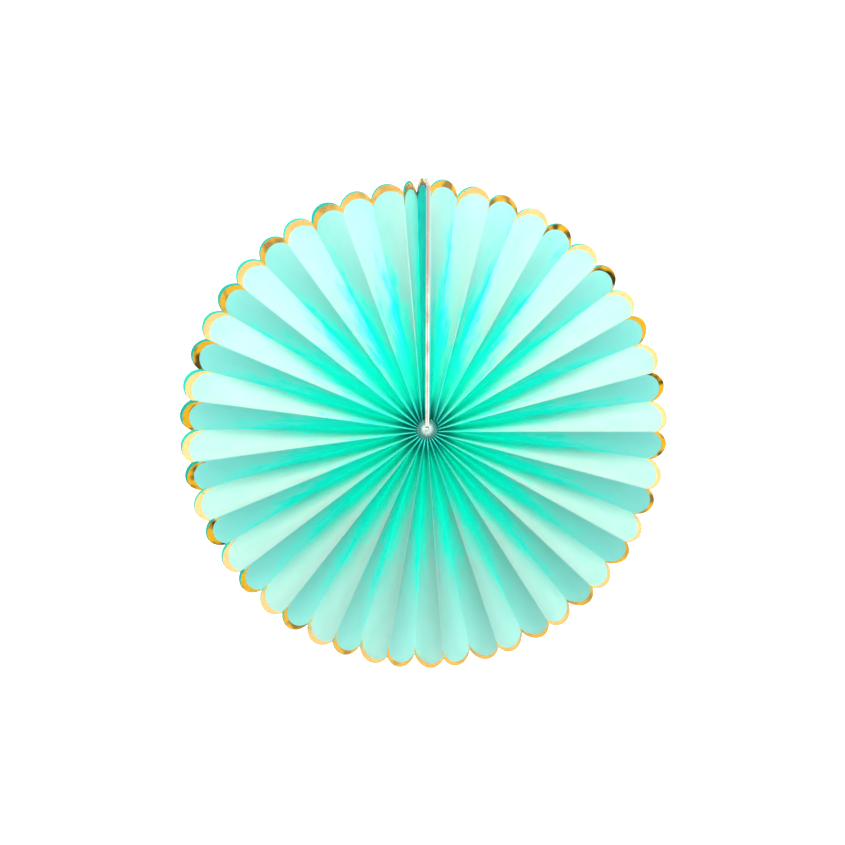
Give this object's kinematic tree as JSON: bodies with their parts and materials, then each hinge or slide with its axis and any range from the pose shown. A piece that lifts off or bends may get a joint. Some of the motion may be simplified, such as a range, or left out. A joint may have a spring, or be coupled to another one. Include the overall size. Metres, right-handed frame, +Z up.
{
  "type": "paper fan rosette",
  "caption": "Round party fan of pleated, scalloped paper opened to a full circle, closed by a seam of two taped cards and held at the hub by glue.",
  "frame": {"origin": "centre of the bounding box's underside: the middle of the fan on the surface it lies on", "axes": "+Z up, out of the fan's front; +Y from the hub towards the seam; +X to the right of the seam seen from the front"},
  "size_m": [0.2489, 0.2506, 0.0345],
  "materials": {
    "mint_paper": "matt dyed paper with a gold foil edge on the scallops",
    "card": "uncoated white board",
    "tape": "soft double-sided adhesive tape",
    "glue": "milky hot-melt glue"
  },
  "bodies": {
    "root": {"pleated_strip": "mint_paper", "end_card_left": "card", "end_card_right": "card", "seam_tape": "tape", "hub_glue": "glue"}
  },
  "joints": []
}
